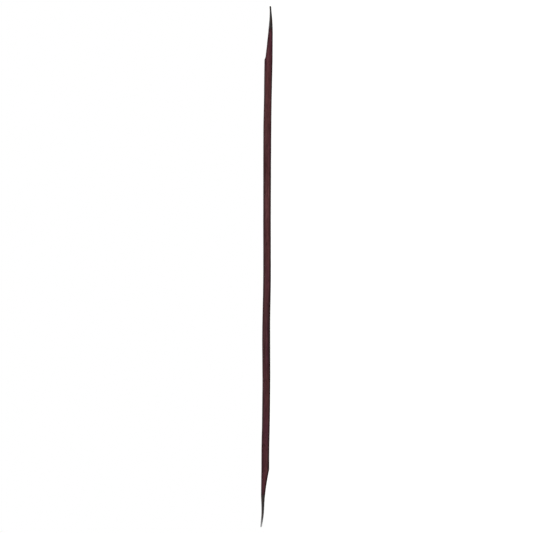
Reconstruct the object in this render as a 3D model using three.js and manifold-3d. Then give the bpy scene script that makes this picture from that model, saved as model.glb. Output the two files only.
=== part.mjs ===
// Double-ended sculpting spatula: a slim rosewood handle with a small blackened-steel blade let into each
// end. Each blade has a hidden flat tang, glued into a slot in the handle's end and held by two pins.
//
// Millimetres. +X runs along the tool, from the upturned blade to the straight one, +Y across its width and
// +Z up through its thickness. It lies on a broad face on z = 0, with the middle of its length and of its
// width at the origin.

import * as THREE from 'three';
import { mergeVertices } from 'three/addons/utils/BufferGeometryUtils.js';
import Module from 'manifold-3d';

const wasm = await Module();
wasm.setup();

// ---- Driving dimensions ----

const LENGTH = 300;
const HALF_LENGTH = LENGTH / 2;
const HANDLE_WIDTH = 12;
const HANDLE_THICKNESS = 4.5; // nominal
const CORNER_RADIUS = 0.95;
const CORNER_SHARE = 0.4; // the most of a thin section's thickness that a corner's radius takes

// Each end is thinned from one side only, from a shoulder in the wood on to the blade.
const STRAIGHT_SHOULDER_X = 118.7; // on the upper face
const STRAIGHT_JOINT_X = 136.7; // where the wood ends and the straight blade begins
const UPTURNED_SHOULDER_X = -116.2; // on the underside
const UPTURNED_JOINT_X = -131; // where the wood ends and the upturned blade begins

// Tangs, as seen on the broad face
const TANG_THICKNESS = 1;
const TANG_ROOT_WIDTH = 5;
const TANG_END_WIDTH = 3.6;
const TANG_LENGTH = 44;
const TANG_OVERLAP = 1; // how far a tang reaches into its own blade, so that the two are one piece
const STRAIGHT_TANG_END_Z = 2.45;
const UPTURNED_TANG_END_Z = 2.4;
const GLUE_GAP = 0.1;
const SLOT_SPARE_LENGTH = 0.5; // room left for glue past the tang's end

// Pins, through the handle's full thickness behind each shoulder
const PIN_RADIUS = 0.8;
const PIN_CLEARANCE = 0.05;
const PIN_INSET = 0.05; // how far the pins' ends lie below the wood
const PIN_FACETS = 20;
const OUTER_PIN_SETBACK = 8; // from the shoulder to the nearer pin
const PIN_SPACING = 14;
const PIN_HOLE_OVERRUN = 1; // past both faces, so that the cut is clean

// ---- Side outline ----
// Lists of [x, z] that a smooth curve passes through. The stick was planed by hand, so it isn't quite
// straight.

const STICK_UNDERSIDE = [
	[-125, 0.22],
	[-105, 0.26],
	[-88, 0.08],
	[-70, -0.04],
	[-52, 0.11],
	[-31, 0.28],
	[-8, 0.08],
	[30, 0.33],
	[80, 0.42],
	[97, 0.31],
	[110, 0.14],
	[124, -0.05],
	[135, 0.03],
	[142, 0.32],
	[147, 0.8],
	[150, 1.03],
];

// Here z is how much thicker the stick is than its nominal thickness.
const STICK_SWELLING = [
	[-117, 0.02],
	[-104, 0.05],
	[-88, 0],
	[-75, 0.07],
	[-63, 0.06],
	[-43, 0.14],
	[-26, -0.02],
	[30, -0.04],
	[55, 0.04],
	[80, 0.13],
	[97, 0.01],
	[109, 0.13],
	[STRAIGHT_SHOULDER_X, 0.19],
];

const STRAIGHT_BEVEL = [
	[STRAIGHT_SHOULDER_X, 4.7],
	[120, 4.18],
	[122, 3.95],
	[126, 3.5],
	[131.5, 2.97],
	[STRAIGHT_JOINT_X, 2.47],
	[143, 1.98],
	[147, 1.9],
	[150, 2.06],
];

const UPTURNED_BEVEL = [
	[-150, 4.28],
	[-147, 3.79],
	[-142.5, 3.18],
	[-137, 2.89],
	[-132, 2.6],
	[-123, 1.43],
	[UPTURNED_SHOULDER_X, 0.28],
];

const UPTURNED_BACK = [
	[-150, 5.14],
	[-147, 4.9],
	[-142.5, 4.55],
	[-137, 4.61],
	[-132, 4.84],
	[-124, 4.83],
	[UPTURNED_SHOULDER_X, 4.77],
];

// ---- Outline on the broad face ----

const POINT_NARROWS_FROM_X = 108; // the straight blade's end is an ogive, narrowing from here
const POINT_HALF_WIDTH = 0.5; // of the ogive at the very tip, before it is rounded
const POINT_TIP_RADIUS = 0.65;
const TONGUE_NARROWS_FROM_X = -108; // the upturned blade's end is a tongue, narrowing from here
const TONGUE_NARROWS_TO_X = -138;
const TONGUE_HALF_WIDTH = 4.7;
const TONGUE_END_LENGTH = 5.4; // of its half-elliptical end
const TIP_HALF_WIDTH = 0.2; // both tips end in a face this wide each way, not in a line

// ---- Grinding, which thins each blade from its middle towards its rim ----

const RIM_SHARE = 0.36; // the rim's thickness, as a share of the middle's
const GRIND_STARTS = 0.6; // past the joint, where the blade is still as square as the wood
const GRIND_LENGTH = 6; // from there to where the rim is down to its share
const GRIND_POWER = 2.4; // how late towards the rim the faces fall away

// ---- Fineness ----

const POINTS_PER_CORNER = 5;
const HANDLE_FACE_STEPS = 1; // across each of the handle's broad faces, which are flat
const BLADE_FACE_STEPS = 8; // across each of a blade's broad faces, which are crowned by the grinding
const HANDLE_STEPS = 44;
const BEVEL_STEPS = 12;
const BLADE_STEPS = 16;

// ---- Curves ----

// A function of x that passes smoothly through the points.
function smoothThrough(points) {
	const slopeAt = (i) => {
		const [beforeX, beforeZ] = points[Math.max(i - 1, 0)];
		const [afterX, afterZ] = points[Math.min(i + 1, points.length - 1)];
		return (afterZ - beforeZ) / (afterX - beforeX);
	};
	return (x) => {
		const last = points.length - 2;
		const found = points.findIndex(([pointX]) => pointX > x);
		const i = found < 0 ? last : THREE.MathUtils.clamp(found - 1, 0, last);
		const [startX, startZ] = points[i];
		const [endX, endZ] = points[i + 1];
		const span = endX - startX;
		const t = (x - startX) / span;
		const rise = endZ - startZ;
		const bend = (1 - t) * (slopeAt(i) * span - rise) - t * (slopeAt(i + 1) * span - rise);
		return startZ + t * rise + t * (1 - t) * bend;
	};
}

const stickUndersideAt = smoothThrough(STICK_UNDERSIDE);
const stickSwellingAt = smoothThrough(STICK_SWELLING);
const straightBevelAt = smoothThrough(STRAIGHT_BEVEL);
const upturnedBevelAt = smoothThrough(UPTURNED_BEVEL);
const upturnedBackAt = smoothThrough(UPTURNED_BACK);

// The stick's low places are dressed flat where they meet the bench.
function undersideAt(x) {
	return x < UPTURNED_SHOULDER_X ? upturnedBevelAt(x) : Math.max(0, stickUndersideAt(x));
}

function upperFaceAt(x) {
	if (x > STRAIGHT_SHOULDER_X) {
		return straightBevelAt(x);
	}
	if (x < UPTURNED_SHOULDER_X) {
		return upturnedBackAt(x);
	}
	return stickUndersideAt(x) + HANDLE_THICKNESS + stickSwellingAt(x);
}

function ogiveHalfWidthAt(x) {
	const reach = HALF_LENGTH - POINT_NARROWS_FROM_X;
	const drop = HANDLE_WIDTH / 2 - POINT_HALF_WIDTH;
	const radius = (reach * reach + drop * drop) / (2 * drop);
	const ogive = HANDLE_WIDTH / 2 - radius + Math.sqrt(radius * radius - (x - POINT_NARROWS_FROM_X) ** 2);
	const fromTipCentre = x - (HALF_LENGTH - POINT_TIP_RADIUS);
	if (fromTipCentre <= 0) {
		return ogive;
	}
	return Math.min(ogive, Math.sqrt(Math.max(0, POINT_TIP_RADIUS ** 2 - fromTipCentre ** 2)));
}

function tongueHalfWidthAt(x) {
	const narrowing = THREE.MathUtils.smoothstep(-x, -TONGUE_NARROWS_FROM_X, -TONGUE_NARROWS_TO_X);
	const side = THREE.MathUtils.lerp(HANDLE_WIDTH / 2, TONGUE_HALF_WIDTH, narrowing);
	const intoEnd = TONGUE_END_LENGTH - HALF_LENGTH - x;
	return intoEnd <= 0 ? side : side * Math.sqrt(Math.max(0, 1 - (intoEnd / TONGUE_END_LENGTH) ** 2));
}

function halfWidthAt(x) {
	if (x > POINT_NARROWS_FROM_X) {
		return Math.max(TIP_HALF_WIDTH, ogiveHalfWidthAt(x));
	}
	return x < TONGUE_NARROWS_FROM_X ? Math.max(TIP_HALF_WIDTH, tongueHalfWidthAt(x)) : HANDLE_WIDTH / 2;
}

// ---- Solids ----

// The tool's section at x before grinding: a rectangle with round corners, anticlockwise as seen from +X,
// with this many steps across each broad face.
function sectionAt(x, faceSteps) {
	const low = undersideAt(x);
	const high = upperFaceAt(x);
	const halfWidth = halfWidthAt(x);
	const radius = Math.min(CORNER_RADIUS, CORNER_SHARE * (high - low), CORNER_SHARE * 2 * halfWidth);
	const section = [];
	for (let corner = 0; corner < 4; corner++) {
		const centreY = (corner === 0 || corner === 3 ? 1 : -1) * (halfWidth - radius);
		const centreZ = corner < 2 ? high - radius : low + radius;
		for (let i = 0; i < POINTS_PER_CORNER; i++) {
			const angle = (corner + i / (POINTS_PER_CORNER - 1)) * (Math.PI / 2);
			section.push([x, centreY + radius * Math.cos(angle), centreZ + radius * Math.sin(angle)]);
		}
		const steps = corner % 2 === 0 ? faceSteps : 1; // a broad face follows each even corner
		for (let i = 1; i < steps; i++) {
			section.push([x, centreY * (1 - (2 * i) / steps), corner === 0 ? high : low]);
		}
	}
	return section;
}

// A blade's section at x, ground so that its faces fall away towards the rim.
function bladeSectionAt(end, x) {
	const middle = (undersideAt(x) + upperFaceAt(x)) / 2;
	const halfWidth = halfWidthAt(x);
	const fromStart = Math.abs(x - end.jointX) - GRIND_STARTS;
	const groundAway = (1 - RIM_SHARE) * THREE.MathUtils.smoothstep(fromStart, 0, GRIND_LENGTH);
	return sectionAt(x, BLADE_FACE_STEPS).map(([, y, z]) => {
		const share = 1 - groundAway * (Math.abs(y) / halfWidth) ** GRIND_POWER;
		return [x, y, middle + (z - middle) * share];
	});
}

// A closed body through these sections, which go up in x.
function bodyThrough(sections) {
	const count = sections[0].length;
	const faces = [];
	for (let s = 0; s + 1 < sections.length; s++) {
		for (let i = 0; i < count; i++) {
			const next = (i + 1) % count;
			const [a, b] = [s * count + i, s * count + next];
			faces.push(a, b, a + count, b, b + count, a + count);
		}
	}
	const lastStart = (sections.length - 1) * count;
	for (let i = 1; i + 1 < count; i++) {
		faces.push(0, i + 1, i);
		faces.push(lastStart, lastStart + i, lastStart + i + 1);
	}
	const geometry = new THREE.BufferGeometry();
	geometry.setAttribute('position', new THREE.Float32BufferAttribute(sections.flat(2), 3));
	geometry.setIndex(faces);
	return solidOf(geometry);
}

function solidOf(geometry) {
	const bare = geometry.clone();
	bare.deleteAttribute('normal');
	bare.deleteAttribute('uv');
	const merged = mergeVertices(bare);
	return new wasm.Manifold(
		new wasm.Mesh({
			numProp: 3,
			vertProperties: new Float32Array(merged.attributes.position.array),
			triVerts: new Uint32Array(merged.index.array),
		})
	);
}

function geometryOf(solid) {
	const mesh = solid.getMesh();
	const geometry = new THREE.BufferGeometry();
	geometry.setAttribute('position', new THREE.BufferAttribute(mesh.vertProperties, 3));
	geometry.setIndex(new THREE.BufferAttribute(mesh.triVerts, 1));
	const flat = geometry.toNonIndexed();
	flat.computeVertexNormals();
	return flat;
}

// Places from one x to another, evenly spaced.
function evenly(from, to, steps) {
	return Array.from({ length: steps + 1 }, (_, i) => THREE.MathUtils.lerp(from, to, i / steps));
}

// Places from a blade's root to its tip, closer together towards the round tip.
function towardsTip(root, tip) {
	const shares = evenly(0, Math.PI / 2, BLADE_STEPS).map((angle) => Math.sin(angle));
	return shares.map((share) => THREE.MathUtils.lerp(root, tip, share));
}

// What each end of the handle is made to. The way is the sign of x from the handle towards the blade.
const STRAIGHT_END = {
	name: 'straight_blade',
	way: 1,
	jointX: STRAIGHT_JOINT_X,
	shoulderX: STRAIGHT_SHOULDER_X,
	tangEndZ: STRAIGHT_TANG_END_Z,
};
const UPTURNED_END = {
	name: 'upturned_blade',
	way: -1,
	jointX: UPTURNED_JOINT_X,
	shoulderX: UPTURNED_SHOULDER_X,
	tangEndZ: UPTURNED_TANG_END_Z,
};

// The tang's flat, tapered plate, grown on every side by the margin. It starts past the joint, at the blade's
// mid-thickness, and slopes to the handle's mid-thickness.
function tangPlate(end, margin, spareLength) {
	const rootZ = (undersideAt(end.jointX) + upperFaceAt(end.jointX)) / 2;
	const slope = Math.atan2(end.tangEndZ - rootZ, TANG_LENGTH);
	const farX = -(TANG_LENGTH + spareLength);
	const outline = new THREE.Shape([
		new THREE.Vector2(TANG_OVERLAP, -TANG_ROOT_WIDTH / 2 - margin),
		new THREE.Vector2(TANG_OVERLAP, TANG_ROOT_WIDTH / 2 + margin),
		new THREE.Vector2(farX, TANG_END_WIDTH / 2 + margin),
		new THREE.Vector2(farX, -TANG_END_WIDTH / 2 - margin),
	]);
	const thickness = TANG_THICKNESS + 2 * margin;
	const plate = new THREE.ExtrudeGeometry(outline, { depth: thickness, bevelEnabled: false });
	plate.translate(0, 0, -thickness / 2);
	plate.rotateY(slope);
	if (end.way < 0) {
		plate.rotateZ(Math.PI);
	}
	plate.translate(end.jointX, 0, rootZ);
	return solidOf(plate);
}

function pinPlacesOf(end) {
	const outerX = end.shoulderX - end.way * OUTER_PIN_SETBACK;
	return { outer: outerX, inner: outerX - end.way * PIN_SPACING };
}

// An upright cylinder at x, which stops short of both of the handle's faces by the inset.
function uprightCylinder(x, radius, inset) {
	const low = undersideAt(x) + inset;
	const high = upperFaceAt(x) - inset;
	const cylinder = new THREE.CylinderGeometry(radius, radius, high - low, PIN_FACETS);
	cylinder.rotateX(Math.PI / 2);
	cylinder.translate(x, 0, (low + high) / 2);
	return cylinder;
}

function pinHole(x) {
	return solidOf(uprightCylinder(x, PIN_RADIUS + PIN_CLEARANCE, -PIN_HOLE_OVERRUN));
}

// ---- Pieces ----

function makeHandle() {
	const stations = [
		...evenly(UPTURNED_JOINT_X, UPTURNED_SHOULDER_X, BEVEL_STEPS),
		...evenly(UPTURNED_SHOULDER_X, STRAIGHT_SHOULDER_X, HANDLE_STEPS).slice(1),
		...evenly(STRAIGHT_SHOULDER_X, STRAIGHT_JOINT_X, BEVEL_STEPS).slice(1),
	];
	let handle = bodyThrough(stations.map((x) => sectionAt(x, HANDLE_FACE_STEPS)));
	for (const end of [STRAIGHT_END, UPTURNED_END]) {
		handle = handle.subtract(tangPlate(end, GLUE_GAP, SLOT_SPARE_LENGTH));
		for (const x of Object.values(pinPlacesOf(end))) {
			handle = handle.subtract(pinHole(x));
		}
	}
	return geometryOf(handle);
}

function makeBlade(end) {
	const root = end.jointX + end.way * GLUE_GAP;
	const stations = towardsTip(root, end.way * HALF_LENGTH);
	const sections = stations.map((x) => bladeSectionAt(end, x));
	let blade = bodyThrough(end.way > 0 ? sections : sections.reverse());
	blade = blade.add(tangPlate(end, 0, 0));
	for (const x of Object.values(pinPlacesOf(end))) {
		blade = blade.subtract(pinHole(x));
	}
	return geometryOf(blade);
}

function named(name, geometry, material) {
	const mesh = new THREE.Mesh(geometry, material);
	mesh.name = name;
	return mesh;
}

function rosewood() {
	return new THREE.MeshStandardMaterial({ color: 0x4c2b2f, roughness: 0.5, metalness: 0 });
}

function blackenedSteel() {
	return new THREE.MeshStandardMaterial({ color: 0x24252a, roughness: 0.42, metalness: 0.9 });
}

function pinSteel() {
	return new THREE.MeshStandardMaterial({ color: 0x6a6c70, roughness: 0.35, metalness: 1 });
}

const spatula = new THREE.Group();
spatula.add(named('handle', makeHandle(), rosewood()));
for (const end of [STRAIGHT_END, UPTURNED_END]) {
	spatula.add(named(end.name, makeBlade(end), blackenedSteel()));
	for (const [place, x] of Object.entries(pinPlacesOf(end))) {
		spatula.add(named(`${end.name}_${place}_pin`, uprightCylinder(x, PIN_RADIUS, PIN_INSET), pinSteel()));
	}
}

export default spatula;
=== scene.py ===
import math

import bpy
import numpy as np
from mathutils import Matrix, Vector, noise


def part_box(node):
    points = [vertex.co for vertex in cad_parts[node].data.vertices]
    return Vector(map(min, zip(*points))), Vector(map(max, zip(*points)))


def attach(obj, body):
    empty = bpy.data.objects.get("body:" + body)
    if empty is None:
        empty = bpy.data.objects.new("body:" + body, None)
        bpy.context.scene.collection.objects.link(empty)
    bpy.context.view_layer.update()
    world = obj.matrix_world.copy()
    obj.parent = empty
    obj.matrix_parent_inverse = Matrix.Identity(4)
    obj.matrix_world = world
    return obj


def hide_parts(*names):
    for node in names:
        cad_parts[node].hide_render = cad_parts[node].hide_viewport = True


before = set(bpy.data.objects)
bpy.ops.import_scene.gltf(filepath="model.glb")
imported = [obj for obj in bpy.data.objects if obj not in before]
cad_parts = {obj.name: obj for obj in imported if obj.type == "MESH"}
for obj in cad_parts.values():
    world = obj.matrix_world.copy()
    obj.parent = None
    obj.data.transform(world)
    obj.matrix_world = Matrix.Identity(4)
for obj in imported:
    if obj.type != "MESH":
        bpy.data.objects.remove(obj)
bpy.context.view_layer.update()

# A double-ended sculpting spatula: a rosewood handle with a blackened-steel blade pinned into each end.
# Metres, in the CAD's frame: +X runs along the tool to the straight blade, +Y across its width, +Z up.
# The outer shape of each piece is read off the CAD's own sections and made finer here.

MM = 0.001

# ---- What the CAD has and its boxes don't say ----
CORNER_RADIUS = 0.95 * MM
CORNER_SHARE = 0.4  # the most of a thin section's thickness or width that a corner's radius takes
TANG_THICKNESS = 1.0 * MM
TANG_ROOT_WIDTH = 5.0 * MM
TANG_END_WIDTH = 3.6 * MM
TANG_OVERLAP = 1.0 * MM  # how far a tang reaches into its own blade
GLUE_GAP = 0.1 * MM
SLOT_SPARE_LENGTH = 0.5 * MM
PIN_CLEARANCE = 0.05 * MM

# ---- Reading the CAD's sections ----
CAD_RING_POINTS = 20  # in a section of the handle; a blade's has more, and a slot, hole or tang has fewer
POINT_DIGITS = 7  # points that agree to this many digits of a metre are one
SECTION_DIGITS = 6  # and so are sections whose x agrees to this many
SECTION_MARGIN = 2e-6  # how far a point may lie from its section's x
NEARLY = MM / 100  # spare room in a comparison of places along X

# ---- Fineness of the meshes ----
CORNER_STEPS = 8
BROAD_STEPS = 12
NARROW_STEPS = 4
HANDLE_STEP = 0.7 * MM
BLADE_STEPS = 60
PIN_SEGMENTS = 40
SMOOTH_ANGLE = math.radians(32)
LEAST_CORNER = 0.02 * MM

# ---- Handwork on the wood, which takes wood away and adds none ----
# Each kind has its depth, the length and width of its marks, and a seed that keeps it apart from the others.
PLANING_DEPTH = 0.04 * MM
PLANING_LENGTH = 11.0 * MM
PLANING_WIDTH = 4 * MM
PLANING_SEED = 0.0
CARVING_DEPTH = 0.06 * MM  # knife cuts on the two bevels
CARVING_LENGTH = 2.8 * MM
CARVING_WIDTH = 5 * MM
CARVING_SEED = 40.0
CARVING_FADE = 1.5 * MM  # at the shoulder and at the joint, where the wood is flush
BEVEL_FACING = 0.7  # the least that a normal points out of a bevel's face for its point to be on the bevel
DENT_DEPTH = 0.07 * MM  # small knocks along the corners
DENT_LENGTH = 2.2 * MM
DENT_WIDTH = 1.5 * MM
DENT_SEED = 80.0
DENT_STARTS = 0.68  # noise above this is a knock
DENT_RANGE = 0.32  # and over this much more it reaches its full depth
NOISE_GAIN = 0.9  # how strongly Blender's noise, which lies about 0, is spread over 0 to 1

# ---- Joints between wood and steel ----
JOINT_GAP = 0.015 * MM  # what is left of the glue gap where it shows, with the blade's root drawn up to it
EDGE_BREAK = 0.1 * MM  # radius of the broken edge on both sides of a joint
EDGE_BREAK_STEPS = 4

# ---- Ground blades, thinned from the middle towards the rim as the CAD's are ----
RIM_SHARE = 0.36  # a blade's rim, as a share of its mid-thickness
RIM_STARTS = 0.6 * MM  # past the joint, where the blade is still as square as the wood
RIM_LENGTH = 6.0 * MM
RIM_POWER = 2.4  # how late towards the rim the faces fall away
STRAIGHT_NOSE = 0.4 * MM  # length over which a tip is rounded off
UPTURNED_NOSE = 0.8 * MM
THINNEST = 0.12  # share of the thickness left at the very end of a tip

# ---- Wear, stain and painted shade, which start at an edge, a tip or a joint ----
TIP_WEAR_LENGTH = 11.0 * MM
STRAIGHT_TIP_WEAR = 0.1  # 1 is worn bare at the very tip
UPTURNED_TIP_WEAR = 1.0
RUB_MARGIN = 2.2 * MM  # the blades' faces are fully rubbed from this far inside the rim
RUB_STARTS = 3.0 * MM  # and from this far past the joint
STAIN_LENGTH = 3.6 * MM  # the wood is darker this near a joint
CORNER_PAINTED_SHADE_REACH = 1.5  # and, as painted shade, this many corner radii in from the sides
PALER_WOOD_FROM_MM = 116  # from the tool's middle: the wood is paler from here, over the bevels
PALER_WOOD_TO_MM = 121  # and palest from here

# ---- Pins ----
PIN_DOME = 0.04 * MM
PIN_DOME_CURVE = ((0.75, 0.45), (0.4, 0.85))  # shares of the radius and of the dome's height, from the rim in
PIN_CHAMFER = 0.08 * MM

# ---- Camera: the tool edge-on and upright in the picture, straight blade at the top ----
VIEW_SPAN = 306.74 * MM  # what the picture's side spans at the tool
VIEW_CENTRE = Vector((0.09 * MM, 0, 2.65 * MM))
LEAN = math.radians(0.414)  # of the tool's top, to the picture's right
LENS_MM = 135.0
SENSOR_MM = 36.0
CLIP_START = 1 * MM

# ---- Stage: pale paper against white, under soft even light, with a soft box in front ----
WORLD_LIGHT = 0.35
FLOOR_SIDE = 40.0
FLOOR_COLOUR = (0.86, 0.86, 0.85, 1)
SKYLIGHT_FROM = Vector((0.15, -0.3, 1))
SKYLIGHT_STRENGTH = 3.0
SKYLIGHT_SPREAD = math.radians(70)
SOFT_BOX_PLACE = Vector((0.3, -2.2, 0.5))
SOFT_BOX_SIZE = 0.9
SOFT_BOX_WATTS = 12


# ================================ Camera and stage ================================

def make_camera():
    data = bpy.data.cameras.new("camera")
    data.lens = LENS_MM
    data.sensor_width = SENSOR_MM
    data.clip_start = CLIP_START
    camera = bpy.data.objects.new("camera", data)
    bpy.context.scene.collection.objects.link(camera)
    bpy.context.scene.camera = camera
    distance = VIEW_SPAN * LENS_MM / SENSOR_MM
    right = Vector((math.sin(LEAN), 0, -math.cos(LEAN)))
    up = Vector((math.cos(LEAN), 0, math.sin(LEAN)))
    back = Vector((0, -1, 0))
    turn = Matrix((right, up, back)).transposed().to_4x4()
    camera.matrix_world = Matrix.Translation(VIEW_CENTRE + back * distance) @ turn


def aimed_light(name, data, place):
    """A light at this place that shines at the origin."""
    light = bpy.data.objects.new(name, data)
    bpy.context.scene.collection.objects.link(light)
    light.location = place
    light.rotation_mode = "QUATERNION"
    light.rotation_quaternion = (-place).to_track_quat("-Z", "Y")


def make_world():
    """Pale surroundings that light the tool softly and are seen as white."""
    world = bpy.data.worlds.new("studio")
    world.use_nodes = True
    tree = world.node_tree
    glow = tree.nodes["Background"]
    glow.inputs["Color"].default_value = (1, 1, 1, 1)
    glow.inputs["Strength"].default_value = WORLD_LIGHT
    seen = tree.nodes.new("ShaderNodeBackground")
    seen.inputs["Color"].default_value = (1, 1, 1, 1)
    ray = tree.nodes.new("ShaderNodeLightPath")
    mixed = tree.nodes.new("ShaderNodeMixShader")
    tree.links.new(ray.outputs["Is Camera Ray"], mixed.inputs["Fac"])
    tree.links.new(glow.outputs["Background"], mixed.inputs[1])
    tree.links.new(seen.outputs["Background"], mixed.inputs[2])
    tree.links.new(mixed.outputs["Shader"], tree.nodes["World Output"].inputs["Surface"])
    bpy.context.scene.world = world
    bpy.context.scene.view_settings.view_transform = "Standard"


def make_floor():
    side = FLOOR_SIDE / 2
    corners = [(-side, -side, 0), (side, -side, 0), (side, side, 0), (-side, side, 0)]
    mesh = bpy.data.meshes.new("floor")
    mesh.from_pydata(corners, [], [(0, 1, 2, 3)])
    floor = bpy.data.objects.new("floor", mesh)
    bpy.context.scene.collection.objects.link(floor)
    paper = bpy.data.materials.new("pale_paper")
    paper.use_nodes = True
    shader = paper.node_tree.nodes["Principled BSDF"]
    shader.inputs["Base Color"].default_value = FLOOR_COLOUR
    shader.inputs["Roughness"].default_value = 1.0
    shader.inputs["Specular IOR Level"].default_value = 0.0
    mesh.materials.append(paper)


def make_lights():
    skylight = bpy.data.lights.new("skylight", "SUN")
    skylight.energy = SKYLIGHT_STRENGTH
    skylight.angle = SKYLIGHT_SPREAD
    aimed_light("skylight", skylight, SKYLIGHT_FROM)
    soft_box = bpy.data.lights.new("soft_box", "AREA")
    soft_box.shape = "DISK"
    soft_box.size = SOFT_BOX_SIZE
    soft_box.energy = SOFT_BOX_WATTS
    aimed_light("soft_box", soft_box, SOFT_BOX_PLACE)


# ================================ The CAD's outer shape ================================

LOW, HIGH, HALF_WIDTH = 1, 2, 3  # columns of a table of sections, after x


def sections_of(node):
    """A row of x, lowest z, highest z and half width for each whole ring of the CAD node's outer surface."""
    points = np.array([v.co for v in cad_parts[node].data.vertices])
    points = np.unique(np.round(points, POINT_DIGITS), axis=0)
    rows = []
    for x in np.unique(np.round(points[:, 0], SECTION_DIGITS)):
        ring = points[np.abs(points[:, 0] - x) < SECTION_MARGIN]
        if len(ring) >= CAD_RING_POINTS:
            rows.append((x, ring[:, 2].min(), ring[:, 2].max(), ring[:, 1].max()))
    return np.array(rows)


def sharpest_turn(xs, zs):
    """The x where the line through these points turns most."""
    slopes = np.diff(zs) / np.diff(xs)
    return xs[1 + int(np.argmax(np.abs(np.diff(slopes))))]


def smooth_through(xs, values, x):
    """The values at x of a smooth curve through the points."""
    slopes = np.gradient(values, xs)
    i = np.clip(np.searchsorted(xs, x) - 1, 0, len(xs) - 2)
    span = xs[i + 1] - xs[i]
    t = np.clip((x - xs[i]) / span, 0, 1)
    rise = values[i + 1] - values[i]
    bend = (1 - t) * (slopes[i] * span - rise) - t * (slopes[i + 1] * span - rise)
    return values[i] + t * rise + t * (1 - t) * bend


class Outline:
    """The outer shape of a CAD node along X, made of smooth curves with a sharp turn at each shoulder."""

    def __init__(self, node, shoulders=()):
        self.table = sections_of(node)
        self.shoulders = sorted(shoulders)

    def at(self, x, column):
        x = np.asarray(x, float)
        result = np.zeros_like(x)
        cuts = [-math.inf, *self.shoulders, math.inf]
        for low, high in zip(cuts, cuts[1:]):
            within = (self.table[:, 0] > low - NEARLY) & (self.table[:, 0] < high + NEARLY)
            rows = self.table[within]
            here = (x >= low) & (x <= high)
            curve = smooth_through(rows[:, 0], rows[:, column], x[here])
            result[here] = np.clip(curve, rows[:, column].min(), rows[:, column].max())
        return result

    def low(self, x):
        return self.at(x, LOW)

    def high(self, x):
        return self.at(x, HIGH)

    def half_width(self, x):
        return self.at(x, HALF_WIDTH)

    def middle(self, x):
        return (self.low(x) + self.high(x)) / 2

    def corner(self, x):
        thickness = self.high(x) - self.low(x)
        most = CORNER_SHARE * np.minimum(thickness, 2 * self.half_width(x))
        return np.minimum(CORNER_RADIUS, most)


def find_shoulders():
    """Where the two bevels start: on the upper face at the straight end, on the underside at the other."""
    table = sections_of("handle")
    quarter = len(table) // 4
    straight = sharpest_turn(table[-quarter:, 0], table[-quarter:, HIGH])
    upturned = sharpest_turn(table[:quarter, 0], table[:quarter, LOW])
    return upturned, straight


# ================================ Meshes ================================

def unit_ring():
    """The points of a section going round from +Y over +Z. Each is the corner that it is on or comes after,
    how far along the side to the next corner it is, and its outward normal."""
    points = []
    for corner in range(4):
        for i in range(CORNER_STEPS + 1):
            angle = (corner + i / CORNER_STEPS) * math.pi / 2
            points.append((corner, 0.0, math.cos(angle), math.sin(angle)))
        steps = BROAD_STEPS if corner % 2 == 0 else NARROW_STEPS
        angle = (corner + 1) * math.pi / 2
        for i in range(1, steps):
            points.append((corner, i / steps, math.cos(angle), math.sin(angle)))
    return points


RING = unit_ring()
CORNER_SIDES = ((1, 1), (-1, 1), (-1, -1), (1, -1))  # of Y and Z, in the ring's order


def ring_at(half_width, low, high, radius, inset=0.0):
    """The points and outward normals of a section drawn in by the inset, as two lists of (y, z)."""
    half_width, low, high = half_width - inset, low + inset, high - inset
    radius = max(radius - inset, LEAST_CORNER)
    places = []
    for y_side, z_side in CORNER_SIDES:
        places.append((y_side * (half_width - radius), high - radius if z_side > 0 else low + radius))
    points, normals = [], []
    for corner, along, normal_y, normal_z in RING:
        here, after = places[corner], places[(corner + 1) % 4]
        y = here[0] + (after[0] - here[0]) * along + radius * normal_y
        z = here[1] + (after[1] - here[1]) * along + radius * normal_z
        points.append((y, z))
        normals.append((normal_y, normal_z))
    return points, normals


def object_of(name, vertices, faces):
    mesh = bpy.data.meshes.new(name)
    mesh.from_pydata(vertices, [], faces)
    mesh.validate()
    made = bpy.data.objects.new(name, mesh)
    bpy.context.scene.collection.objects.link(made)
    return made


def body_through(name, rings):
    """A closed mesh through rings of points (x, y, z) with the same count, which go up in x."""
    count = len(rings[0])
    faces = [tuple(reversed(range(count)))]
    for r in range(len(rings) - 1):
        for i in range(count):
            a, b = r * count + i, r * count + (i + 1) % count
            faces.append((a, b, b + count, a + count))
    faces.append(tuple(range((len(rings) - 1) * count, len(rings) * count)))
    return object_of(name, [point for ring in rings for point in ring], faces)


def between(start, end, step):
    count = max(1, round(abs(end - start) / step))
    return [start + (end - start) * i / count for i in range(count + 1)]


def edge_stations(x, way):
    """Places over the broken edge that starts at x and runs this way."""
    angles = [math.pi / 2 * i / EDGE_BREAK_STEPS for i in range(EDGE_BREAK_STEPS + 1)]
    return [x + way * EDGE_BREAK * (1 - math.cos(angle)) for angle in angles]


def broken_edge(distance):
    """How far inside the outline the surface lies at this distance from the end of a piece."""
    left = max(0.0, 1 - distance / EDGE_BREAK)
    return EDGE_BREAK * (1 - math.sqrt(1 - left * left))


def boolean(target, operation, cutters):
    """Joins the cutters to the target or cuts them from it, and removes them."""
    for cutter in cutters:
        modifier = target.modifiers.new(operation, "BOOLEAN")
        modifier.operation = operation
        modifier.solver = "EXACT"
        modifier.object = cutter
    graph = bpy.context.evaluated_depsgraph_get()
    result = bpy.data.meshes.new_from_object(target.evaluated_get(graph))
    target.modifiers.clear()
    target.data = result
    result.name = target.name
    for cutter in cutters:
        bpy.data.objects.remove(cutter)


def finish_mesh(piece, material, node):
    mesh = piece.data
    mesh.shade_smooth()
    mesh.set_sharp_from_angle(angle=SMOOTH_ANGLE)
    mesh.materials.clear()
    mesh.materials.append(material)
    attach(piece, "root")
    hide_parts(node)


# ================================ Ends, tangs and pins ================================

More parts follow.
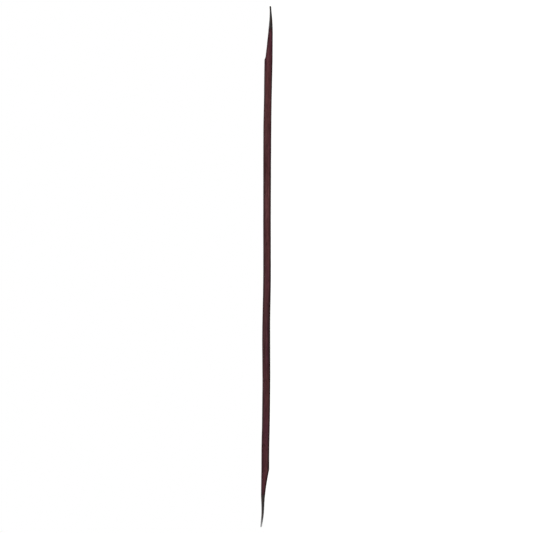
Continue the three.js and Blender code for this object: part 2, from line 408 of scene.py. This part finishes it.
UPTURNED_SHOULDER, STRAIGHT_SHOULDER = find_shoulders()
HANDLE = Outline("handle", (UPTURNED_SHOULDER, STRAIGHT_SHOULDER))
HANDLE_LOW, HANDLE_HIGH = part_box("handle")


class End:
    """One end of the tool. Its way is the sign of x from the handle towards the blade."""

    def __init__(self, way):
        self.way = way
        self.blade = "straight_blade" if way > 0 else "upturned_blade"
        self.outline = Outline(self.blade)
        low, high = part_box(self.blade)
        self.joint_x = HANDLE_HIGH.x if way > 0 else HANDLE_LOW.x
        self.root_x = self.joint_x + way * JOINT_GAP
        self.tip_x = high.x if way > 0 else low.x
        self.shoulder_x = STRAIGHT_SHOULDER if way > 0 else UPTURNED_SHOULDER
        self.tang_end_x = low.x if way > 0 else high.x
        self.tang_end_z = high.z - TANG_THICKNESS / 2 if way > 0 else low.z + TANG_THICKNESS / 2
        self.pins = [f"{self.blade}_{place}_pin" for place in ("outer", "inner")]
        self.nose = STRAIGHT_NOSE if way > 0 else UPTURNED_NOSE
        self.tip_wear = STRAIGHT_TIP_WEAR if way > 0 else UPTURNED_TIP_WEAR

    def tang(self, name, margin, spare_length):
        """The tang's tapered plate, grown on every side by the margin."""
        root_z = float(self.outline.middle(np.array([self.root_x]))[0])
        slope = (self.tang_end_z - root_z) / (self.tang_end_x - self.root_x)
        far_x = self.tang_end_x - self.way * spare_length
        near_x = self.root_x + self.way * TANG_OVERLAP
        up = TANG_THICKNESS / 2 + margin
        rings = []
        for x, width in ((near_x, TANG_ROOT_WIDTH), (far_x, TANG_END_WIDTH)):
            z = root_z + slope * (x - self.root_x)
            out = width / 2 + margin
            rings.append([(x, y_side * out, z + z_side * up) for y_side, z_side in CORNER_SIDES])
        return body_through(name, rings if self.way < 0 else rings[::-1])


ENDS = (End(1), End(-1))


def pin_place(pin):
    low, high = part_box(pin)
    return (low + high) / 2, (high.x - low.x) / 2, high.z - low.z


def spun(name, centre, profile):
    """A closed body of revolution about the upright axis through the centre. The profile is (radius, z), from
    its lowest point on the axis to its highest. Its points are turned half a step, so that none of a hole's
    falls on the middle line of the face that it cuts."""
    vertices = [(centre.x, centre.y, profile[0][1])]
    for radius, z in profile[1:-1]:
        for i in range(PIN_SEGMENTS):
            angle = 2 * math.pi * (i + 0.5) / PIN_SEGMENTS
            vertices.append((centre.x + radius * math.cos(angle), centre.y + radius * math.sin(angle), z))
    vertices.append((centre.x, centre.y, profile[-1][1]))
    last = len(vertices) - 1
    faces = []
    for i in range(PIN_SEGMENTS):
        after = (i + 1) % PIN_SEGMENTS
        faces.append((0, 1 + after, 1 + i))
        for ring in range(len(profile) - 3):
            start = 1 + ring * PIN_SEGMENTS
            faces.append((start + i, start + after, start + PIN_SEGMENTS + after, start + PIN_SEGMENTS + i))
        start = last - PIN_SEGMENTS
        faces.append((start + i, start + after, last))
    return object_of(name, vertices, faces)


def pin_hole(pin):
    centre, radius, length = pin_place(pin)
    radius += PIN_CLEARANCE
    low, high = centre.z - length, centre.z + length
    return spun("hole", centre, [(0, low), (radius, low), (radius, high), (0, high)])


def make_pin(pin, material):
    """A pin filed flush, with a slight dome left by the hammer and a chamfer at each end."""
    centre, radius, length = pin_place(pin)
    low, high = centre.z - length / 2, centre.z + length / 2
    lower = [(radius - PIN_CHAMFER, low), (radius, low + PIN_CHAMFER)]
    upper = [(radius, high - PIN_CHAMFER), (radius - PIN_CHAMFER, high)]
    bottom = [(0, low - PIN_DOME)] + [(radius * r, low - PIN_DOME * h) for r, h in reversed(PIN_DOME_CURVE)]
    top = [(radius * r, high + PIN_DOME * h) for r, h in PIN_DOME_CURVE] + [(0, high + PIN_DOME)]
    finish_mesh(spun(pin + "_body", centre, bottom + lower + upper + top), material, pin)


# ================================ Handle ================================

def to_joint(x):
    return min(abs(HANDLE_HIGH.x - x), abs(x - HANDLE_LOW.x))


def wandering(x, y, z, length, across, seed):
    """Smooth noise from 0 to 1, with features this long along X and this wide across it."""
    value = noise.noise(Vector((x / length + seed, y / across, z / across)))
    return min(1.0, max(0.0, 0.5 + NOISE_GAIN * value))


def on_bevel(x, normal_z):
    """From 0 to 1: how much the knife cuts of a bevel show at this x, on the face with this normal."""
    for end in ENDS:
        from_shoulder = (x - end.shoulder_x) * end.way
        from_joint = (end.joint_x - x) * end.way
        if from_shoulder > 0 and normal_z * end.way > BEVEL_FACING:
            return min(1.0, from_shoulder / CARVING_FADE, from_joint / CARVING_FADE)
    return 0.0


def wood_removed(x, y, z, normal_y, normal_z):
    """How deep the hand's work goes at this point."""
    flush = min(1.0, to_joint(x) / CARVING_FADE)
    planing = PLANING_DEPTH * wandering(x, y, z, PLANING_LENGTH, PLANING_WIDTH, PLANING_SEED)
    cuts = wandering(x, y, z, CARVING_LENGTH, CARVING_WIDTH, CARVING_SEED)
    carving = CARVING_DEPTH * on_bevel(x, normal_z) * cuts
    knocks = wandering(x, y, z, DENT_LENGTH, DENT_WIDTH, DENT_SEED)
    knock = max(0.0, knocks - DENT_STARTS) / DENT_RANGE
    cornering = 4 * (normal_y * normal_z) ** 2  # 1 in the middle of a corner and 0 on a face
    return flush * (planing + carving + DENT_DEPTH * cornering * knock)


def handle_stations():
    """Places along the handle, with the shoulders among them and more over the two broken edges."""
    stations = {UPTURNED_SHOULDER, STRAIGHT_SHOULDER}
    for end in ENDS:
        stations.update(edge_stations(end.joint_x, -end.way))
        stations.update(between(end.joint_x - end.way * HANDLE_STEP, end.shoulder_x, HANDLE_STEP))
    stations.update(between(UPTURNED_SHOULDER, STRAIGHT_SHOULDER, HANDLE_STEP))
    return np.array(sorted(stations))


def make_handle(material):
    xs = handle_stations()
    shape = zip(xs, HANDLE.half_width(xs), HANDLE.low(xs), HANDLE.high(xs), HANDLE.corner(xs))
    rings = []
    for x, *section in shape:
        ring = []
        for (y, z), (normal_y, normal_z) in zip(*ring_at(*section, broken_edge(to_joint(x)))):
            depth = wood_removed(x, y, z, normal_y, normal_z)
            ring.append((x, y - normal_y * depth, z - normal_z * depth))
        rings.append(ring)
    handle = body_through("handle_wood", rings)
    cutters = [end.tang("slot", GLUE_GAP, SLOT_SPARE_LENGTH) for end in ENDS]
    cutters += [pin_hole(pin) for end in ENDS for pin in end.pins]
    boolean(handle, "DIFFERENCE", cutters)
    mark_wood(handle)
    finish_mesh(handle, material, "handle")


def store(piece, name, values):
    """Stores a number for each vertex, which the piece's material reads."""
    attribute = piece.data.attributes.new(name, "FLOAT", "POINT")
    attribute.data.foreach_set("value", values.astype(np.float32))


def mark_wood(piece):
    """Stores how near each point of the wood is to a rounded corner, where shade is painted, and to a joint,
    where stain gathers.
    """
    points = np.array([v.co for v in piece.data.vertices])
    xs = np.clip(points[:, 0], HANDLE_LOW.x, HANDLE_HIGH.x)
    to_side = HANDLE.half_width(xs) - np.abs(points[:, 1])
    to_face = np.minimum(points[:, 2] - HANDLE.low(xs), HANDLE.high(xs) - points[:, 2])
    reach = CORNER_PAINTED_SHADE_REACH * HANDLE.corner(xs)
    # The corner value sets how much painted shade darkens the wood at its rounded corners.
    store(piece, "corner", np.clip(1 - np.maximum(to_side, to_face) / reach, 0, 1))
    joint_distance = np.minimum(HANDLE_HIGH.x - xs, xs - HANDLE_LOW.x)
    store(piece, "joint", np.clip(1 - joint_distance / STAIN_LENGTH, 0, 1))


# ================================ Blades ================================

def blade_stations(end):
    """Places from the joint to the tip, closer together over the broken edge and towards the round tip."""
    shares = [math.sin(math.pi / 2 * i / BLADE_STEPS) for i in range(1, BLADE_STEPS + 1)]
    eased = [end.root_x + (end.tip_x - end.root_x) * share for share in shares]
    return np.array(sorted({*edge_stations(end.root_x, end.way), *eased}))


def smoothstep(value):
    value = min(1.0, max(0.0, value))
    return value * value * (3 - 2 * value)


def nose(end, x):
    """The share of a blade's thickness left at x, where its tip is rounded off."""
    left = max(0.0, 1 - abs(end.tip_x - x) / end.nose)
    return max(THINNEST, math.sqrt(1 - left * left))


def make_blade(end, material):
    xs = blade_stations(end)
    outline = end.outline
    shape = zip(xs, outline.half_width(xs), outline.low(xs), outline.high(xs), outline.corner(xs))
    rings = []
    for x, half_width, low, high, radius in shape:
        from_root = abs(x - end.root_x)
        falling = (1 - RIM_SHARE) * smoothstep((from_root - RIM_STARTS) / RIM_LENGTH)
        middle = (low + high) / 2
        ring = []
        for y, z in ring_at(half_width, low, high, radius, broken_edge(from_root))[0]:
            ground = 1 - falling * (abs(y) / half_width) ** RIM_POWER
            ring.append((x, y, middle + (z - middle) * ground * nose(end, x)))
        rings.append(ring)
    blade = body_through(end.blade + "_steel", rings)
    boolean(blade, "UNION", [end.tang("tang", 0, 0)])
    boolean(blade, "DIFFERENCE", [pin_hole(pin) for pin in end.pins])
    mark_steel(blade, end)
    finish_mesh(blade, material, end.blade)


def mark_steel(piece, end):
    """Stores where the steel is worn bare towards the tip, and where its broad faces are rubbed."""
    points = np.array([v.co for v in piece.data.vertices])
    from_root = (points[:, 0] - end.root_x) * end.way
    on_blade = from_root > -NEARLY  # and not on its tang
    xs = np.where(on_blade, points[:, 0], end.root_x)
    to_rim = end.outline.half_width(xs) - np.abs(points[:, 1])
    to_tip = np.abs(end.tip_x - points[:, 0])
    bare = end.tip_wear * np.clip(1 - to_tip / TIP_WEAR_LENGTH, 0, 1)
    rub = np.clip(to_rim / RUB_MARGIN, 0, 1) * np.clip(from_root / RUB_STARTS, 0, 1)
    store(piece, "bare", bare * on_blade)
    store(piece, "rub", rub * on_blade)


# ================================ Materials ================================

class Shading:
    """A node material. Coordinates are in millimetres, in the CAD's frame."""

    def __init__(self, name):
        self.material = bpy.data.materials.new(name)
        self.material.use_nodes = True
        self.tree = self.material.node_tree
        self.shader = self.tree.nodes["Principled BSDF"]
        place = self.add("TexCoord").outputs["Object"]
        self.place = self.vector("MULTIPLY", place, (1 / MM, 1 / MM, 1 / MM))

    def add(self, kind, inputs=None, **settings):
        node = self.tree.nodes.new("ShaderNode" + kind)
        for name, value in settings.items():
            setattr(node, name, value)
        for socket, value in (inputs or {}).items():
            self.put(node.inputs[socket], value)
        return node

    def put(self, socket, value):
        if isinstance(value, bpy.types.NodeSocket):
            self.tree.links.new(value, socket)
        else:
            socket.default_value = value

    def vector(self, operation, a, b):
        return self.add("VectorMath", {0: a, 1: b}, operation=operation).outputs["Vector"]

    def maths(self, operation, a, b=0.0, clamp=False):
        return self.add("Math", {0: a, 1: b}, operation=operation, use_clamp=clamp).outputs["Value"]

    def noise(self, size, detail=2.0, roughness=0.5, at=None):
        """Noise from 0 to 1 whose features are about this many millimetres along X, Y and Z."""
        place = self.place if at is None else at
        scaled = self.vector("DIVIDE", place, size)
        inputs = {"Vector": scaled, "Scale": 1.0, "Detail": detail, "Roughness": roughness}
        return self.add("TexNoise", inputs).outputs["Fac"]

    def span(self, value, low, high, to_low=0.0, to_high=1.0):
        """The value mapped from low..high to to_low..to_high, and held there."""
        inputs = {"Value": value, "From Min": low, "From Max": high, "To Min": to_low, "To Max": to_high}
        return self.add("MapRange", inputs).outputs["Result"]

    def mix(self, share, a, b, blend="MIX"):
        node = self.add("Mix", data_type="RGBA", blend_type=blend)
        self.put(node.inputs["Factor"], share)
        self.put([s for s in node.inputs if s.identifier == "A_Color"][0], a)
        self.put([s for s in node.inputs if s.identifier == "B_Color"][0], b)
        return [s for s in node.outputs if s.identifier == "Result_Color"][0]

    def attribute(self, name):
        return self.add("Attribute", attribute_name=name).outputs["Fac"]

    def bump(self, height, depth, over=None):
        """A normal from a height from 0 to 1 that stands for this many metres."""
        inputs = {"Height": height, "Distance": depth, "Strength": 1.0}
        if over is not None:
            inputs["Normal"] = over
        return self.add("Bump", inputs).outputs["Normal"]


def rosewood():
    s = Shading("rosewood")
    # The grain wanders a little from the stick's axis.
    wide = s.vector("DIVIDE", s.place, (60, 60, 60))
    drift = s.add("TexNoise", {"Vector": wide, "Scale": 1.0, "Detail": 1.0}).outputs["Color"]
    drift = s.vector("SUBTRACT", drift, (0.5, 0.5, 0.5))
    grain = s.vector("ADD", s.place, s.vector("MULTIPLY", drift, (0, 5, 3)))

    band = s.noise((90, 3.2, 1.3), 3, 0.55, grain)
    streak = s.noise((38, 0.9, 0.7), 2, 0.5, grain)
    pore = s.noise((5.0, 0.16, 0.16), 1, 0.4, grain)
    fibre = s.noise((1.6, 0.07, 0.07), 2, 0.6, grain)
    patch = s.noise((26, 14, 9), 2, 0.5)
    tint = s.noise((34, 8, 6), 1, 0.5)

    purple, red = (0.059, 0.013, 0.0235, 1), (0.06, 0.016, 0.0175, 1)
    dark, light, ink = (0.03, 0.008, 0.0085, 1), (0.088, 0.03, 0.032, 1), (0.012, 0.0045, 0.0045, 1)
    middle = s.mix(s.span(tint, 0.38, 0.62), purple, red)
    colour = s.mix(s.span(band, 0.34, 0.52), dark, middle)
    colour = s.mix(s.span(streak, 0.5, 0.7, 0, 0.8), colour, light)
    colour = s.mix(s.span(streak, 0.3, 0.44, 0.7, 0), colour, dark)
    pores = s.span(pore, 0.6, 0.68)
    colour = s.mix(s.maths("MULTIPLY", pores, 0.75), colour, ink)

    # It is a little darker towards the upturned end and beside the joints, has painted shade along its
    # rounded corners, and is paler over the bevels.
    tone = s.maths("MULTIPLY", s.span(patch, 0.3, 0.7, 0.86, 1.1), s.span(fibre, 0.3, 0.7, 0.9, 1.1))
    along = s.add("SeparateXYZ", {"Vector": s.place}).outputs["X"]
    for shade in (
        s.span(along, -100, 130, 0.86, 1.14),
        s.span(s.maths("ABSOLUTE", along), PALER_WOOD_FROM_MM, PALER_WOOD_TO_MM, 1.0, 1.2),
        # painted shade on the rounded corners
        s.span(s.attribute("corner"), 0.05, 0.6, 1.0, 0.5),
        s.span(s.attribute("joint"), 0.0, 1.0, 1.0, 0.5),
    ):
        tone = s.maths("MULTIPLY", tone, shade)
    tone = s.add("CombineColor", {0: tone, 1: tone, 2: tone}).outputs["Color"]
    s.put(s.shader.inputs["Base Color"], s.mix(1.0, colour, tone, "MULTIPLY"))

    rough = s.span(s.noise((9, 3, 3), 3), 0.3, 0.7, 0.44, 0.6)
    s.put(s.shader.inputs["Roughness"], s.maths("ADD", rough, s.maths("MULTIPLY", pores, 0.2), clamp=True))
    s.shader.inputs["Specular IOR Level"].default_value = 0.08

    relief = s.bump(fibre, 0.012 * MM)
    relief = s.bump(s.maths("SUBTRACT", 1.0, pores), 0.05 * MM, over=relief)
    s.put(s.shader.inputs["Normal"], relief)
    return s.material


def blackened_steel():
    # The black is rubbed thin and scratched on the broad faces, and worn away towards the upturned tip.
    s = Shading("blackened_steel")
    blotch = s.noise((5, 4, 4), 4, 0.6)
    fine = s.noise((0.5, 0.5, 0.5), 3, 0.6)
    brushed = s.noise((7.0, 0.07, 0.07), 3, 0.55)
    scratches = s.span(s.noise((5.0, 0.03, 1.5), 2, 0.5), 0.58, 0.74)
    black, brown = (0.008, 0.006, 0.006, 1), (0.03, 0.016, 0.013, 1)
    grey, bright = (0.06, 0.06, 0.065, 1), (0.45, 0.45, 0.455, 1)
    scratched = (0.15, 0.15, 0.155, 1)
    uneven = s.maths("SUBTRACT", s.maths("ADD", brushed, s.maths("MULTIPLY", blotch, 0.8)), 0.9)
    rubbed = s.span(s.maths("ADD", s.attribute("rub"), uneven), 0.45, 1.2, 0.0, 0.75)
    bare = s.span(s.maths("ADD", s.attribute("bare"), s.maths("MULTIPLY", uneven, 0.35)), 0.25, 0.95)
    bare = s.maths("MULTIPLY", bare, bare)
    colour = s.mix(s.span(blotch, 0.4, 0.65), black, brown)
    colour = s.mix(rubbed, colour, grey)
    colour = s.mix(s.maths("MULTIPLY", scratches, rubbed), colour, scratched)
    s.put(s.shader.inputs["Base Color"], s.mix(bare, colour, bright))
    s.put(s.shader.inputs["Metallic"], s.maths("MAXIMUM", rubbed, bare))
    s.put(s.shader.inputs["Roughness"], s.span(s.maths("ADD", blotch, brushed), 0.7, 1.3, 0.34, 0.54))
    s.shader.inputs["Specular IOR Level"].default_value = 0.2
    relief = s.bump(brushed, 0.008 * MM)
    s.put(s.shader.inputs["Normal"], s.bump(fine, 0.008 * MM, over=relief))
    return s.material


def pin_steel():
    s = Shading("pin_steel")
    filed = s.noise((0.6, 0.05, 0.4), 2, 0.5)
    stain = s.noise((0.7, 0.7, 0.7), 3, 0.6)
    colour = s.mix(s.span(stain, 0.4, 0.65), (0.27, 0.27, 0.28, 1), (0.08, 0.065, 0.06, 1))
    s.put(s.shader.inputs["Base Color"], colour)
    s.shader.inputs["Metallic"].default_value = 1.0
    s.put(s.shader.inputs["Roughness"], s.span(filed, 0.3, 0.7, 0.28, 0.5))
    s.put(s.shader.inputs["Normal"], s.bump(filed, 0.01 * MM))
    return s.material


# ================================ The tool ================================

make_camera()
make_world()
make_floor()
make_lights()
make_handle(rosewood())
steel, pins_steel = blackened_steel(), pin_steel()
for each_end in ENDS:
    make_blade(each_end, steel)
    for each_pin in each_end.pins:
        make_pin(each_pin, pins_steel)
